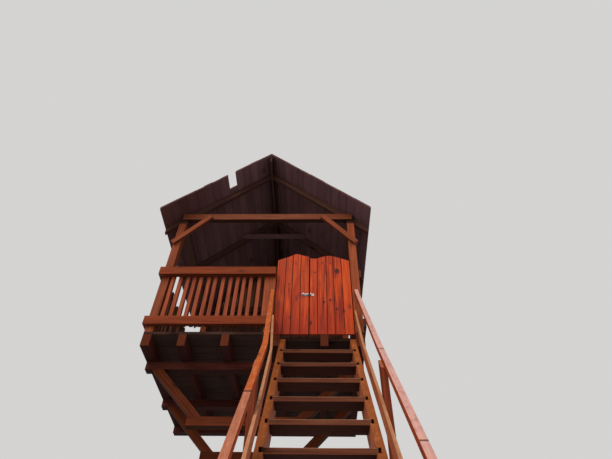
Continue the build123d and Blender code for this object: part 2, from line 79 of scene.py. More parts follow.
# Softwood boards under a red-brown stain. Light, dark and other are the streaks of a face that
# stands upright, sun is the lighter colour of a face turned up, partly bleached by the sky and partly
# painted light, shade is painted shade that darkens every underside, worn shows through where the
# coat is thin, cut is a sawn end, and groove is the dirt in the joint of boards laid edge to edge
woodFinishes = {
    # sawn pine posts, brushed: the saw leaves a dull nap, and the stain sinks in unevenly
    "sawnPinePost": dict(
        light="#7e3c1e", dark="#5e2e16", other="#72361f", sun="#b57b5e", shade="#4a241a",
        knot="#2c1512", worn="#924f2e", cut="#6a3828",
        streakMm=14, knotMm=420, rough=0.66, gloss=0.12, sunAmount=0.8, shadeAmount=0.8),
    # sawn pine stair posts under a thick coat that the rails keep dry: deep red-brown and dull
    "sawnPineStairPost": dict(
        light="#6a2c14", dark="#4e200e", other="#602815", sun="#9c6248", shade="#3c1c12",
        knot="#2c1512", worn="#7d4026", cut="#6a3828",
        streakMm=14, knotMm=420, rough=0.64, gloss=0.1, sunAmount=0.7, shadeAmount=0.8),
    # sawn pine under the eaves, less faded than the posts: duller and a little redder
    "sawnPineTie": dict(
        light="#6c371d", dark="#512516", other="#63321f", sun="#a56a4e", shade="#2a150f",
        knot="#2c1512", worn="#7e4c33", cut="#5c3022",
        streakMm=14, knotMm=420, rough=0.68, gloss=0.12, sunAmount=0.8, shadeAmount=1.0),
    # heavy sawn pine that carries the platform: seldom dry, so it stays dark, dull and even
    "sawnPineBeam": dict(
        light="#542612", dark="#39170b", other="#482111", sun="#805238", shade="#220d05",
        knot="#1e0f0d", worn="#62351d", cut="#4c2a1e",
        streakMm=15, knotMm=460, rough=0.72, gloss=0.05, sunAmount=0.5, shadeAmount=0.9),
    # sawn pine joists right under the deck: nearly black-brown and matt, raw brown on the ends
    "sawnPineJoist": dict(
        light="#4a231c", dark="#301615", other="#401f1b", sun="#5a3628", shade="#261413",
        knot="#150b0a", worn="#5f3626", cut="#5f2d13",
        streakMm=15, knotMm=460, rough=0.76, gloss=0.04, sunAmount=0.4, shadeAmount=0.9),
    # sawn pine deck boards: trodden grey-brown and dry on top, black-brown below
    "sawnPineDeck": dict(
        light="#3b2521", dark="#271b19", other="#312322", sun="#86695a", shade="#342724",
        knot="#150c0b", worn="#80604f", cut="#4d3026",
        streakMm=16, knotMm=500, rough=0.78, gloss=0.03, sunAmount=0.95, shadeAmount=1.0),
    # sawn pine roof boards: grey-brown and washed by rain on top, brown-black and matt below
    "sawnPineRoof": dict(
        light="#634a4f", dark="#574145", other="#6b4a4d", sun="#6f5a4e", shade="#594348",
        knot="#35261f", worn="#5b4038", cut="#46302a", groove="#382928",
        streakMm=18, knotMm=520, rough=0.78, gloss=0.03, sunAmount=0.95, shadeAmount=0.6),
    # sawn pine rafters and plates: painted shade makes them as dark in front as the boards they carry,
    # so they hardly show
    "sawnPineRafterPaintedShade": dict(
        light="#48322d", dark="#372624", other="#513530", sun="#5a4438", shade="#402c26",
        knot="#130a0a", worn="#4b342d", cut="#3a2620",
        streakMm=15, knotMm=480, rough=0.78, gloss=0.03, sunAmount=0.6, shadeAmount=0.8),
    # sawn pine wall boards with a coat that was never renewed: quite without gloss, and dark where
    # painted shade lies on the lower wall
    "sawnPineWall": dict(
        light="#815b49", dark="#594136", other="#8e5e4b", sun="#6b5242", shade="#1d1110",
        knot="#2b1813", worn="#4a2f27", cut="#38221c", groove="#24140f",
        streakMm=18, knotMm=520, rough=0.8, gloss=0.03, sunAmount=0.6, shadeAmount=0.8),
    # planed pine rails: cut smooth, so the stain lies even with a faint satin
    "planedPineRail": dict(
        light="#732d08", dark="#592106", other="#662a08", sun="#ab6a4a", shade="#4a2218",
        knot="#34160f", worn="#863d11", cut="#6b3524",
        streakMm=12, knotMm=400, rough=0.56, gloss=0.08, sunAmount=0.7, shadeAmount=0.8),
    # planed pine balusters, brushed thin: darker than the rails, with soft straight streaks
    "planedPineBaluster": dict(
        light="#8b4429", dark="#662f1c", other="#7b3c27", sun="#8a5640", shade="#381b16",
        knot="#24110e", worn="#985335", cut="#4c281d",
        streakMm=12, knotMm=400, rough=0.62, gloss=0.08, sunAmount=0.5, shadeAmount=0.9),
    # side railings of the same planed pine in the eaves' shade: painted shade, a dull grey-brown copy of
    # the balusters' stain
    "paintedShadePineBaluster": dict(
        light="#533428", dark="#3c251d", other="#4a2f26", sun="#6b4c3c", shade="#2a1915",
        knot="#1c0f0c", worn="#5f3f31", cut="#46302a",
        streakMm=12, knotMm=400, rough=0.72, gloss=0.04, sunAmount=0.5, shadeAmount=0.9),
    # knotty planed pine under two fresh coats: the brightest wood here, satin, with dark knots
    "coatedPineGate": dict(
        light="#b2410c", dark="#6f1b06", other="#8d250a", sun="#c8694a", shade="#6b2a1c",
        knot="#4a1a1c", worn="#a64813", cut="#8a3c24", groove="#55150a",
        streakMm=20, knotMm=380, rough=0.46, gloss=0.1, sunAmount=0.5, shadeAmount=0.8),
    # planed pine treads: the coat is rubbed off by shoes along the front, dark below with painted shade
    "troddenPineTread": dict(
        light="#633b29", dark="#4b2a1f", other="#5b3427", sun="#a98168", shade="#2e120b",
        knot="#24110e", worn="#76513c", cut="#5a3426",
        streakMm=14, knotMm=430, rough=0.7, gloss=0.04, sunAmount=0.9, shadeAmount=1.0),
    # sawn pine stringers: bleached tan along the top, red-brown at the sides
    "sawnPineStringer": dict(
        light="#8c4c2f", dark="#693621", other="#7c4029", sun="#743d17", shade="#3a1c14",
        knot="#2c1510", worn="#a06a48", cut="#5f3524",
        streakMm=14, knotMm=430, rough=0.68, gloss=0.12, sunAmount=1.0, shadeAmount=0.9),
    # handrails rubbed by hands and washed by rain: pink-tan and silky on top, the pink partly a painted
    # sky reflection, red-brown at the sides
    "rubbedPineHandrail": dict(
        light="#963c10", dark="#6e2909", other="#80310c", sun="#b08a84", shade="#4a2418",
        knot="#3a1c14", worn="#bd8464", cut="#7c4a35",
        streakMm=13, knotMm=420, rough=0.58, gloss=0.06, sunAmount=1.0, shadeAmount=0.8),
    # thin mid rails: the rain has left them nearly bare on the top edge
    "washedPineMidRail": dict(
        light="#a0552f", dark="#7c3e22", other="#8f4a2a", sun="#9a6f51", shade="#3a1c14",
        knot="#34180f", worn="#b08464", cut="#6b4230",
        streakMm=11, knotMm=420, rough=0.62, gloss=0.12, sunAmount=1.0, shadeAmount=0.8),
}

# Sizes of what the wood shows: bands, flecks and blotches by their length along the board and their
# width, the rest by their spacing, and shifts in metres that give each board its own grain and pith
grainSettings = {"streakLengthMm": 455, "bandMm": (1111, 66.7), "fleckMm": (71.4, 29.4),
                 "blotchMm": (322.6, 322.6), "ringMm": 5.0, "knotRimMm": 71.4, "markRimMm": 23.8,
                 "knotStretch": 1.9, "boardShift": (23.0, 11.0, 7.0), "pithShift": (0.0, 0.09, -0.06)}

# How the noise of each pattern is made: (detail, roughness, distortion)
patterns = {"streak": (4.0, 0.62, 0.35), "band": (2.0, 0.5, 0.6), "blotch": (3.0, 0.55, 0.0),
            "fleck": (3.0, 0.7, 0.0)}
# The value of its pattern at which each coat of colour starts, the one at which it is full, and its
# strength there, which for faces turned up (partly painted light) or turned down (painted shade)
# comes from the finish
coats = {"streak": (0.36, 0.64, 1.0), "band": (0.38, 0.66, 0.6), "dryBrush": (0.45, 0.72, 0.2),
         "faded": (1.0, 0.99, 1.0), "grime": (0.5, 0.78, 0.6), "bleach": (0.46, 0.28, 0.4),
         "turnedUp": (0.3, 0.6), "turnedDown": (-0.25, -0.65), "knotHalo": (0.2, 0.08, 0.35),
         "knotHeart": (0.1, 0.04, 0.85), "resin": (1.3, 0.2, 0.6), "placedKnot": (1.3, 0.6, 0.9),
         "joint": (1.0, 0.7, 0.8), "groove": (0.2, 0.9, 0.75), "ring": (0.2, 0.9, 1.0),
         "sawnEnd": (0.0, 1.0, 0.8), "tarnish": (0.5, 0.75, 1.0)}
# What patterns do to lightness, relief and roughness: (low, high) of the pattern become (first, last)
ranges = {"boardLift": (0.0, 1.0, 0.86, 1.12), "streakLift": (0.34, 0.66, 0.9, 1.1),
          "sunken": (0.1, 0.04, 0.0, -0.3), "woodRough": (0.3, 0.7, 0.1, -0.06),
          "metalRough": (0.3, 0.8, -0.06, 0.16)}

# Marks at known places, each (x, y, z, reach x, reach y, reach z) in millimetres: knots, resin
# streaks, the plumb butt joints of the long rails, lengths of rail that faded otherwise, each
# (colour, marks), and washes, each (colour, strength, full, marks), at their strongest within that
# share of a mark's reach: a fresher coat on one gate board, the gates darker towards their foot,
# and painted shade on the lower wall and the roof's left gable
gateFaceMm = -342
gateDepthMm = 60


def onGate(*spots):
    return [(x, gateFaceMm, z, reachX, gateDepthMm, reachZ) for x, z, reachX, reachZ in spots]


woodMarks = {
    "coatedPineGate": {
        "knots": onGate((339, 1525, 11, 14), (728, 1866, 10, 14), (825, 1866, 11, 12), (905, 1733, 30, 44),
                        (642, 1708, 12, 13), (742, 1257, 13, 20), (816, 1286, 13, 20), (884, 1158, 13, 18),
                        (598, 968, 12, 30), (370, 1041, 9, 18), (510, 1733, 8, 10), (960, 1131, 12, 26)),
        "streaks": onGate((460, 1359, 16, 42), (239, 1228, 18, 80), (722, 981, 18, 130), (926, 1089, 30, 150),
                          (700, 1525, 12, 60), (893, 1690, 44, 80), (225, 880, 20, 90)),
        "streakColour": "#5e1420", "knotColour": "#270a10",
        "washesAndPaintedShade": [("#7e1804", 0.5, 0.1, [(620, gateFaceMm, 850, 9000, 9000, 440)]),
                   ("#dc5a1c", 0.3, 0.85, [(1012, gateFaceMm, 1400, 55, 9000, 9000)])]},
    "rubbedPineHandrail": {
        "faded": [("#915c47", [(279, -2000, 0, 600, 6000, 90000)]),
                  ("#944a22", [(279, -1243, 0, 600, 854, 90000)])],
        "joints": [(1107, -1618, -215, 90, 6, 900), (1107, -2422, -1216, 90, 6, 900),
                   (279, -2097, -812, 90, 9, 900)]},
    "washedPineMidRail": {"joints": [(285, -1640, -600, 60, 1.6, 900)]},
    # painted shade over the lower wall, strongest near the deck
    "sawnPineWall": {"washesAndPaintedShade": [("#2b1813", 0.75, 0.84, [(0, 1640, 815, 9000, 9000, 1950)])]},
    # painted shade on the roof at its left gable
    "sawnPineRoof": {"washesAndPaintedShade": [("#361b14", 0.55, 0.3, [(-1200, -500, 2800, 900, 900, 900)])]},
}


def stirredPlace(tree, place, base, spacingMm, reach):
    # A place moved about by up to a small reach, so that what is drawn there gets a ragged rim
    stir = addNode(tree, "ShaderNodeTexNoise", {"Vector": place, "Scale": 1000 / spacingMm, "Detail": 2.0})
    return addNode(tree, "ShaderNodeVectorMath", {0: stir.outputs["Color"], 1: (reach,) * 3, 2: base},
                   operation="MULTIPLY_ADD")


def markDepth(tree, marks, ragged=0.0):
    # How far a point lies from the nearest listed mark: 0 in its heart, 1 at its rim
    place = addNode(tree, "ShaderNodeTexCoord").outputs["Object"]
    stirred = stirredPlace(tree, place, place, grainSettings["markRimMm"], ragged)
    nearest = None
    for x, y, z, *reach in marks:
        centre = tuple(value / 1000 + ragged / 2 for value in (x, y, z))
        away = addNode(tree, "ShaderNodeVectorMath", {0: stirred, 1: centre}, operation="SUBTRACT")
        scaled = addNode(tree, "ShaderNodeVectorMath", {0: away, 1: tuple(1000 / r for r in reach)},
                         operation="MULTIPLY")
        length = addNode(tree, "ShaderNodeVectorMath", {0: scaled}, operation="LENGTH").outputs["Value"]
        if nearest is not None:
            length = addNode(tree, "ShaderNodeMath", {0: nearest, 1: length}, operation="MINIMUM")
        nearest = length
    return nearest


def laidOver(tree, under, *layers):
    # Each layer of colour comes in over what is under it as its value goes from start to full
    for colour, value, start, full, strength in layers:
        share = addNode(tree, "ShaderNodeMapRange", {"Value": value, 1: start, 2: full, 4: strength})
        under, over = (hexColour(c) if isinstance(c, str) else c for c in (under, colour))
        under = addNode(tree, "ShaderNodeMix", {0: share, 6: under, 7: over}, data_type="RGBA").outputs[2]
    return under


def rangeOf(name, base=0.0):
    low, high, first, last = ranges[name]
    return {1: low, 2: high, 3: base + first, 4: base + last}


def drawnOut(tree, place, lengthMm, widthMm):
    # A place counted in steps of this length along the board and of this width across it
    return addNode(tree, "ShaderNodeVectorMath", {0: place, 1: (1000 / lengthMm, *[1000 / widthMm] * 2)},
                   operation="MULTIPLY")


def drawnGrain(tree, place, sizeMm, name):
    detail, roughness, distortion = patterns[name]
    return addNode(tree, "ShaderNodeTexNoise", {
        "Vector": drawnOut(tree, place, *sizeMm), "Scale": 1.0, "Detail": detail, "Roughness": roughness,
        "Distortion": distortion})


def emptyMaterial(name):
    material = bpy.data.materials.new(name)
    material.use_nodes = True
    material.node_tree.nodes.clear()
    return material


def closeMaterial(material, height, strength, depthMm, look):
    # Ends each finish: its shader on a bump of the given depth
    tree = material.node_tree
    bump = addNode(tree, "ShaderNodeBump",
                   {"Strength": strength, "Distance": depthMm / 1000, "Height": height})
    shader = addNode(tree, "ShaderNodeBsdfPrincipled", {"Normal": bump, **look})
    addNode(tree, "ShaderNodeOutputMaterial", {"Surface": shader})
    return material


def stainedWood(name, look, marks):
    material = emptyMaterial(name)
    tree = material.node_tree
    grain, tone, turn, edge, cut = (addNode(tree, "ShaderNodeAttribute", attribute_name=label).outputs
                                    for label in ("grain", "tone", "turn", "edge", "cut"))
    place, pith = (addNode(tree, "ShaderNodeVectorMath",
                           {0: tone["Vector"], 1: grainSettings[shift], 2: grain["Vector"]},
                           operation="MULTIPLY_ADD") for shift in ("boardShift", "pithShift"))
    # Streaks of early and late wood, broader bands, and blotches where the brush ran dry
    streak = drawnGrain(tree, place, (grainSettings["streakLengthMm"], look["streakMm"]), "streak")
    band = drawnGrain(tree, place, grainSettings["bandMm"], "band")
    blotch = drawnGrain(tree, place, grainSettings["blotchMm"], "blotch")
    colour = laidOver(tree, look["dark"], (look["light"], streak, *coats["streak"]),
                      (look["other"], band, *coats["band"]), (look["worn"], blotch, *coats["dryBrush"]))
    sun = look["sun"]
    for faded, spots in marks.get("faded", ()):
        sun = laidOver(tree, sun, (faded, markDepth(tree, spots), *coats["faded"]))
    # Faces turned up are partly bleached and partly painted light, with dark flecks a few centimetres
    # wide where grime sits
    fleck = drawnGrain(tree, place, grainSettings["fleckMm"], "fleck")
    sun = laidOver(tree, sun, (look["dark"], fleck, *coats["grime"]), (look["worn"], fleck, *coats["bleach"]))
    # Painted light and shade: the sun colour on faces turned up, the painted shade on undersides
    colour = laidOver(tree, colour, (sun, turn["Fac"], *coats["turnedUp"], look["sunAmount"]),
                      (look["shade"], turn["Fac"], *coats["turnedDown"], look["shadeAmount"]))
    # Washes: the gates are darker towards their foot, painted shade darkens the lower wall and the roof
    # at its left gable, and one gate board has kept a brighter coat
    for washOrShadeColour, strength, full, spots in marks.get("washesAndPaintedShade", ()):
        colour = laidOver(tree, colour, (washOrShadeColour, markDepth(tree, spots), 1.0, full, strength))
    # Knots: dark hearts in a brown halo, drawn out a little along the grain
    knotPlace = drawnOut(tree, place, look["knotMm"], look["knotMm"] / grainSettings["knotStretch"])
    knotSpot = stirredPlace(tree, place, knotPlace, grainSettings["knotRimMm"], reach=0.06)
    cells = addNode(tree, "ShaderNodeTexVoronoi", {"Vector": knotSpot, "Scale": 1.0}).outputs["Distance"]
    colour = laidOver(tree, colour, (look["knot"], cells, *coats["knotHalo"]),
                      (look["knot"], cells, *coats["knotHeart"]))
    if "knots" in marks:
        resin = markDepth(tree, marks["streaks"], ragged=0.03)
        knots = markDepth(tree, marks["knots"], ragged=0.02)
        colour = laidOver(tree, colour, (marks["streakColour"], resin, *coats["resin"]),
                          (marks["knotColour"], knots, *coats["placedKnot"]))
    if "joints" in marks:
        colour = laidOver(tree, colour, (look["knot"], markDepth(tree, marks["joints"]), *coats["joint"]))
    # Boards laid edge to edge hold dirt in their joints
    if "groove" in look:
        colour = laidOver(tree, colour, (look["groove"], edge["Fac"], *coats["groove"]))
    # Sawn ends show the growth rings: a wave of scale 1 repeats every tenth of pi metres
    rings = addNode(tree, "ShaderNodeTexWave",
                    {"Vector": pith, "Scale": 100 * math.pi / grainSettings["ringMm"], "Distortion": 2.5,
                     "Detail": 2.0}, wave_type="RINGS", rings_direction="X").outputs["Fac"]
    sawn = laidOver(tree, look["cut"], (look["dark"], rings, *coats["ring"]))
    colour = laidOver(tree, colour, (sawn, cut["Fac"], *coats["sawnEnd"]))
    # Boards and streaks differ in lightness, the pale early wood is smoother, and knots are sunken
    boardLift = addNode(tree, "ShaderNodeMapRange", {"Value": tone["Fac"], **rangeOf("boardLift")})
    streakLift = addNode(tree, "ShaderNodeMapRange", {"Value": streak, **rangeOf("streakLift")})
    lift = addNode(tree, "ShaderNodeMath", {0: boardLift, 1: streakLift}, operation="MULTIPLY")
    toned = addNode(tree, "ShaderNodeHueSaturation", {"Value": lift, "Color": colour})
    rough = addNode(tree, "ShaderNodeMapRange", {"Value": streak, **rangeOf("woodRough", look["rough"])})
    sunken = addNode(tree, "ShaderNodeMapRange", {"Value": cells, **rangeOf("sunken")})
    height = addNode(tree, "ShaderNodeMath", {0: streak, 1: sunken}, operation="ADD")
    return closeMaterial(material, height, strength=0.5, depthMm=3, look={
        "Base Color": toned, "Roughness": rough, "Specular IOR Level": look["gloss"]})


metalFinishes = {
    # zinc-plated steel, pressed and drawn, dulled outdoors: cool grey with a soft spangle
    "platedSteelBolt": dict(base="#cdcfd3", stain="#96989e", metallic=1.0, rough=0.36, speckMm=5),
    # zinc-plated steel plate gone dull: grey with pale and dark bloom, hardly any mirror left
    "dulledZincPlate": dict(base="#929498", stain="#606166", metallic=0.9, rough=0.52, speckMm=6),
    # japanned steel plate: baked black-brown lacquer, rusty where it has chipped
    "japannedSteelHinge": dict(base="#2f2724", stain="#5a3524", metallic=0.6, rough=0.5, speckMm=7),
    # drawn steel wire, forged to heads and gone dull brown: small dark dots on the boards
    "wireNailHead": dict(base="#33241f", stain="#5c4034", metallic=0.7, rough=0.6, speckMm=3),
}


def hardware(name, look):
    material = emptyMaterial(name)
    tree = material.node_tree
    place = addNode(tree, "ShaderNodeTexCoord").outputs["Object"]
    speck = addNode(tree, "ShaderNodeTexNoise", {"Vector": place, "Scale": 1000 / look["speckMm"],
                                                 "Detail": 3.0})
    colour = laidOver(tree, look["base"], (look["stain"], speck, *coats["tarnish"]))
    rough = addNode(tree, "ShaderNodeMapRange", {"Value": speck, **rangeOf("metalRough", look["rough"])})
    return closeMaterial(material, speck, strength=0.2, depthMm=0.5, look={
        "Base Color": colour, "Roughness": rough, "Metallic": look["metallic"]})


finish = {name: stainedWood(name, look, woodMarks.get(name, {})) for name, look in woodFinishes.items()}
finish.update({name: hardware(name, look) for name, look in metalFinishes.items()})
print("finishes made", len(finish))

# Boards: each is a small mesh that gets its own grain space in metres with x along the board, which
# way its faces were turned, a mark for its sawn ends, and rounded edges where they have a size
boardSettings = {"roundSteps": 2, "roundProfile": 0.6, "sharpRadians": 0.5, "endFacing": 0.8}


def dressBoard(shape, axes, tone, roundingMm=0):
    isRounded = shape.faces.layers.float.new("edge")
    if roundingMm:
        sharp = [edge for edge in shape.edges
                 if edge.calc_face_angle_signed(0) > boardSettings["sharpRadians"]]
        made = bmesh.ops.bevel(shape, geom=sharp, offset=roundingMm / 1000, offset_type="OFFSET",
                               segments=boardSettings["roundSteps"], profile=boardSettings["roundProfile"],
                               affect="EDGES", clamp_overlap=True)
        for face in made["faces"]:
            face[isRounded] = 1.0
    isCut = shape.faces.layers.float.new("cut")
    turned = shape.faces.layers.float.new("turn")
    grain = shape.verts.layers.float_vector.new("grain")
    corners = np.array([v.co[:] for v in shape.verts])
    centre = (corners.min(0) + corners.max(0)) / 2
    if axes is None:  # the longest way through the timber, then the others
        axes = np.linalg.eigh(np.cov((corners - corners.mean(0)).T))[1][:, ::-1].T
    for vert, spot in zip(shape.verts, (corners - centre) @ np.array(axes).T):
        vert[grain] = Vector(spot)
    if tone is not None:  # a board that is laid in a run gets its tone there
        toneLayer = shape.verts.layers.float.new("tone")
        for vert in shape.verts:
            vert[toneLayer] = tone
    along = Vector(axes[0])
    for face in shape.faces:
        face.normal_update()
        face[isCut] = 1.0 if abs(face.normal.dot(along)) > boardSettings["endFacing"] else 0.0
        face[turned] = face.normal.z
        face.smooth = False


def linkObject(name, data):
    linked = bpy.data.objects.new(name, data)
    bpy.context.scene.collection.objects.link(linked)
    return linked


def joinMeshes(name, meshes, material):
    # One object in one finish from meshes that are used up, and their objects with them
    whole = bmesh.new()
    for mesh in meshes:
        whole.from_mesh(mesh)
        bpy.data.meshes.remove(mesh)
    joined = bpy.data.meshes.new(name)
    whole.to_mesh(joined)
    whole.free()
    joined.materials.clear()
    joined.materials.append(material)
    for face in joined.polygons:
        face.material_index = 0
    return linkObject(name, joined)


def joinBoards(name, shapes, stain):
    meshes = []
    for shape in shapes:
        meshes.append(bpy.data.meshes.new("board"))
        shape.to_mesh(meshes[-1])
        shape.free()
    return joinMeshes(name, meshes, finish[stain])


def rideWith(piece, node):
    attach(piece, bodyOf[node])


def standFor(piece, node):
    rideWith(piece, node)
    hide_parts(node)


def joinRuns(name, pieces, node):
    standFor(joinMeshes(name, [piece.data for piece in pieces], pieces[0].data.materials[0]), node)


def blockOf(spots):
    # A block from its eight corners, where each of its three ways goes from its first to its second end
    shape = bmesh.new()
    made = [shape.verts.new(spot) for spot in spots]
    for loop in ((0, 1, 3, 2), (4, 6, 7, 5), (0, 4, 5, 1), (2, 3, 7, 6), (0, 2, 6, 4), (1, 5, 7, 3)):
        shape.faces.new([made[i] for i in loop])
    bmesh.ops.recalc_face_normals(shape, faces=shape.faces)
    return shape


def boxBoard(low, high, tone=None, along=0):
    shape = blockOf([(x, y, z) for x in (low[0], high[0]) for y in (low[1], high[1])
                     for z in (low[2], high[2])])
    order = [along] + [i for i in range(3) if i != along]
    axes = [[1.0 if i == k else 0.0 for i in range(3)] for k in order]
    dressBoard(shape, axes, tone)
    return shape


def plateBoard(outline, thickness, tone, roundingMm):
    # An upright board cut to an outline in XZ, seen from the front; its thickness runs back along Y
    shape = bmesh.new()
    front = [shape.verts.new(spot) for spot in outline]
    back = [shape.verts.new((x, y + thickness, z)) for x, y, z in outline]
    shape.faces.new(front)
    shape.faces.new(list(reversed(back)))
    count = len(outline)
    for i in range(count):
        k = (i + 1) % count
        shape.faces.new([front[k], front[i], back[i], back[k]])
    bmesh.ops.recalc_face_normals(shape, faces=shape.faces)
    dressBoard(shape, [[0, 0, 1], [1, 0, 0], [0, 1, 0]], tone, roundingMm)
    return shape


# Sawn timbers: the nodes of the frame, each timber with a grain of its own
timberSettings = {
    "mergeMm": 0.02,
    "flatDegrees": 0.4,
    "seed": 11,
    "pieces": {
        "floor_joists": "sawnPineJoist", "bearers": "sawnPineJoist", "support_beams": "sawnPineBeam",
        "knee_braces_front": "sawnPineBeam", "knee_braces_middle": "sawnPineBeam",
        "post_front_left": "sawnPinePost", "post_front_right": "sawnPinePost",
        "post_rear_left": "sawnPinePost", "post_rear_right": "sawnPinePost", "gate_post": "sawnPinePost",
        # painted shade on the rafters, ridge board, side plates and rear tie beam
        "side_plates": "sawnPineRafterPaintedShade", "tie_beam_front": "sawnPineTie", "tie_beam_rear": "sawnPineRafterPaintedShade",
        "corner_braces": "sawnPinePost", "rafters": "sawnPineRafterPaintedShade", "ridge_board": "sawnPineRafterPaintedShade",
        "collar_tie": "sawnPineRoof", "front_rails": "planedPineRail", "stringer_left": "sawnPineStringer",
        "stringer_right": "sawnPineStringer", "stair_posts": "sawnPineStairPost",
        "handrail_left": "rubbedPineHandrail", "handrail_right": "rubbedPineHandrail",
        "mid_rails": "washedPineMidRail", "gate_left_ledges": "coatedPineGate",
        "gate_right_ledges": "coatedPineGate",
    },
}


def islandsOf(node):
    # The node's separate timbers, with the flat triangles of each face made one face again
    whole = bmesh.new()
    whole.from_mesh(nodes[node].data)
    bmesh.ops.remove_doubles(whole, verts=whole.verts, dist=timberSettings["mergeMm"] / 1000)
    flat = math.radians(timberSettings["flatDegrees"])
    bmesh.ops.dissolve_limit(whole, angle_limit=flat, verts=whole.verts, edges=whole.edges)
    whole.faces.index_update()
    seen = set()
    islands = []
    for start in whole.verts:
        if start.index in seen:
            continue
        group = []
        stack = [start]
        seen.add(start.index)
        while stack:
            vert = stack.pop()
            group.append(vert)
            for edge in vert.link_edges:
                other = edge.other_vert(vert)
                if other.index not in seen:
                    seen.add(other.index)
                    stack.append(other)
        shape = bmesh.new()
        made = {vert: shape.verts.new(vert.co) for vert in group}
        for face in sorted({f for vert in group for f in vert.link_faces}, key=lambda f: f.index):
            shape.faces.new([made[v] for v in face.verts])
        islands.append(shape)
    whole.free()
    return islands


rng = random.Random(timberSettings["seed"])
joistPlaces = []
rafterPlaces = set()
for node, stain in timberSettings["pieces"].items():
    shapes = islandsOf(node)
    for shape in shapes:
        spots = np.array([v.co[:] for v in shape.verts])
        if node == "floor_joists":
            joistPlaces.append(float(spots[:, 0].mean()))
        if node == "rafters":
            rafterPlaces.add(round(float(spots[:, 1].min() + spots[:, 1].max()) / 2, 4))
        dressBoard(shape, None, rng.random())
    standFor(joinBoards(node + "_timber", shapes, stain), node)
print("timbers dressed", len(timberSettings["pieces"]))


# What repeats is laid by Geometry Nodes. Each tree starts with a shape or points and its settings,
# and ends in real meshes with their finish, because the export drops instances
def openTree(name, sockets):
    tree = bpy.data.node_groups.new(name, "GeometryNodeTree")
    tree.interface.new_socket("Geometry", in_out="INPUT", socket_type="NodeSocketGeometry")
    for label, kind in sockets.items():
        tree.interface.new_socket(label, in_out="INPUT", socket_type="NodeSocket" + kind)
    tree.interface.new_socket("Geometry", in_out="OUTPUT", socket_type="NodeSocketGeometry")
    return tree, addNode(tree, "NodeGroupInput").outputs


def closeTree(tree, laid, material):
    real = addNode(tree, "GeometryNodeRealizeInstances", {"Geometry": laid})
    dressed = addNode(tree, "GeometryNodeSetMaterial", {"Geometry": real, "Material": material})
    addNode(tree, "NodeGroupOutput", {"Geometry": dressed})
    return tree


def eitherWay(tree, reach, seed):
    # A random vector for each board, within a reach to both sides
    low = addNode(tree, "ShaderNodeVectorMath", {0: reach, 1: (-1.0, -1.0, -1.0)}, operation="MULTIPLY")
    return addNode(tree, "FunctionNodeRandomValue", {0: low, 1: reach, "Seed": seed},
                   data_type="FLOAT_VECTOR")


def boardRunTree():
    # A run of boards with a little play in each, of which one can be left out by its number
    tree, given = openTree("boardRun", {"Count": "Int", "First Place": "Vector", "Step": "Vector",
                                        "Play": "Vector", "Turn": "Vector", "Left Out": "Int", "Seed": "Int",
                                        "Finish": "Material"})
    line = addNode(tree, "GeometryNodeMeshLine",
                   {"Count": given["Count"], "Start Location": given["First Place"], "Offset": given["Step"]},
                   mode="OFFSET")
    index = addNode(tree, "GeometryNodeInputIndex")
    leftOut = addNode(tree, "FunctionNodeCompare", {2: index, 3: given["Left Out"]}, data_type="INT",
                      operation="EQUAL")
    kept = addNode(tree, "GeometryNodeDeleteGeometry", {"Geometry": line, "Selection": leftOut},
                   domain="POINT")
    turnSeed, toneSeed = (addNode(tree, "ShaderNodeMath", {0: given["Seed"], 1: more}, operation="ADD")
                          for more in (5.0, 9.0))
    play = eitherWay(tree, given["Play"], given["Seed"])
    moved = addNode(tree, "GeometryNodeSetPosition", {"Geometry": kept, "Offset": play})
    turn = eitherWay(tree, given["Turn"], turnSeed)
    laid = addNode(tree, "GeometryNodeInstanceOnPoints",
                   {"Points": moved, "Instance": given["Geometry"], "Rotation": turn})
    tone = addNode(tree, "FunctionNodeRandomValue", {2: 0.0, 3: 1.0, "Seed": toneSeed}, data_type="FLOAT")
    marked = addNode(tree, "GeometryNodeStoreNamedAttribute",
                     {"Geometry": laid, "Name": "tone", "Value": tone.outputs[1]},
                     data_type="FLOAT", domain="INSTANCE")
    return closeTree(tree, marked, given["Finish"])


headSettings = {"sides": 10, "topShare": 0.7, "heightMm": 1.2, "nailRadiusMm": 3.5}


def headRunTree():
    # Nail and screw heads: one low cone on each given point
    tree, given = openTree("headRun", {"Head Radius": "Float", "Head Height": "Float", "Head Turn": "Vector",
                                       "Finish": "Material"})
    top = addNode(tree, "ShaderNodeMath", {0: given["Head Radius"], 1: headSettings["topShare"]},
                  operation="MULTIPLY")
    head = addNode(tree, "GeometryNodeMeshCone",
                   {"Vertices": headSettings["sides"], "Radius Top": top,
                    "Radius Bottom": given["Head Radius"], "Depth": given["Head Height"]})
    laid = addNode(tree, "GeometryNodeInstanceOnPoints",
                   {"Points": given["Geometry"], "Instance": head, "Rotation": given["Head Turn"]})
    return closeTree(tree, laid, given["Finish"])


boardRun = boardRunTree()
headRun = headRunTree()


def runNodes(piece, tree, values):
    modifier = piece.modifiers.new(tree.name, "NODES")
    modifier.node_group = tree
    for item in tree.interface.items_tree:
        if item.in_out == "INPUT" and item.name in values:
            modifier[item.identifier] = values[item.name]
    bpy.context.view_layer.update()
    graph = bpy.context.evaluated_depsgraph_get()
    laid = bpy.data.meshes.new_from_object(piece.evaluated_get(graph))
    piece.modifiers.remove(modifier)
    piece.data = laid
    return piece


def layRun(name, board, count, first, step, stain, seed, play=(0, 0, 0), turn=(0, 0, 0), leftOut=-1):
    return runNodes(joinBoards(name, [board], stain), boardRun, {
        "Count": count, "First Place": first, "Step": step, "Play": play, "Turn": turn, "Left Out": leftOut,
        "Seed": seed, "Finish": finish[stain]})


quarter = math.pi / 2
headTurns = {"front": (quarter, 0, 0), "back": (-quarter, 0, 0), "right": (0, quarter, 0),
             "left": (0, -quarter, 0), "up": (0, 0, 0)}


